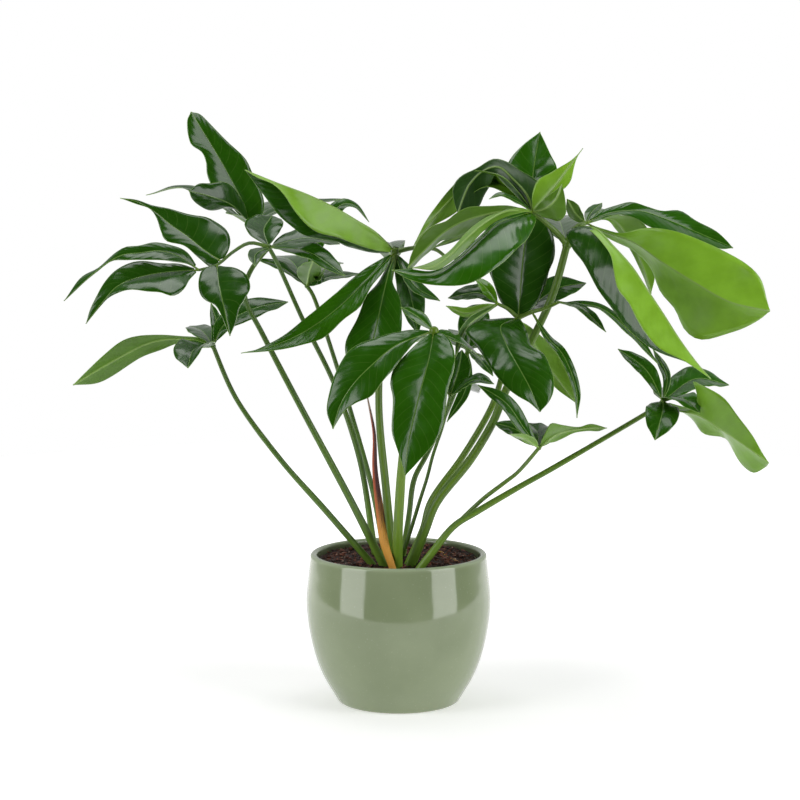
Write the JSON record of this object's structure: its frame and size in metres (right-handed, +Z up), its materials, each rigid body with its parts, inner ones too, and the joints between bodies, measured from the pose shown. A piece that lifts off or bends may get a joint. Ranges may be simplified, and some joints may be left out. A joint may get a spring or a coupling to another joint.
{
  "type": "potted philodendron house plant",
  "caption": "Potted philodendron with long petioles, compound glossy leaflets and a round glazed bowl pot filled with bark soil.",
  "frame": {"origin": "centre of the pot's flat underside", "axes": "+Z up out of the pot, +X to the viewer's right along the plant's widest spread, -Y towards the viewer"},
  "size_m": [0.8178, 0.4815, 0.7169],
  "materials": {
    "glaze": "smooth glossy sage-green glaze",
    "bark_soil": "dark brown bark potting mix, matt",
    "foliage": "waxy green leaf, glossy upper side, lighter underside",
    "dry_sheath": "dry red-brown papery sheath",
    "dry_root": "yellow-brown dry root",
    "clip_plastic": "white translucent plastic"
  },
  "bodies": {
    "root": {"pot": "glaze", "soil": "bark_soil", "frond_low_left": "foliage", "frond_left": "foliage", "frond_upper_left": "foliage", "frond_behind_left": "foliage", "frond_middle": "foliage", "frond_front": "foliage", "frond_right": "foliage", "frond_top_right": "foliage", "frond_far_right": "foliage", "frond_low_right": "foliage", "frond_back": "foliage", "frond_thin": "foliage", "dry_sheath": "dry_sheath", "loose_root": "dry_root", "plant_clip": "clip_plastic"}
  },
  "joints": []
}
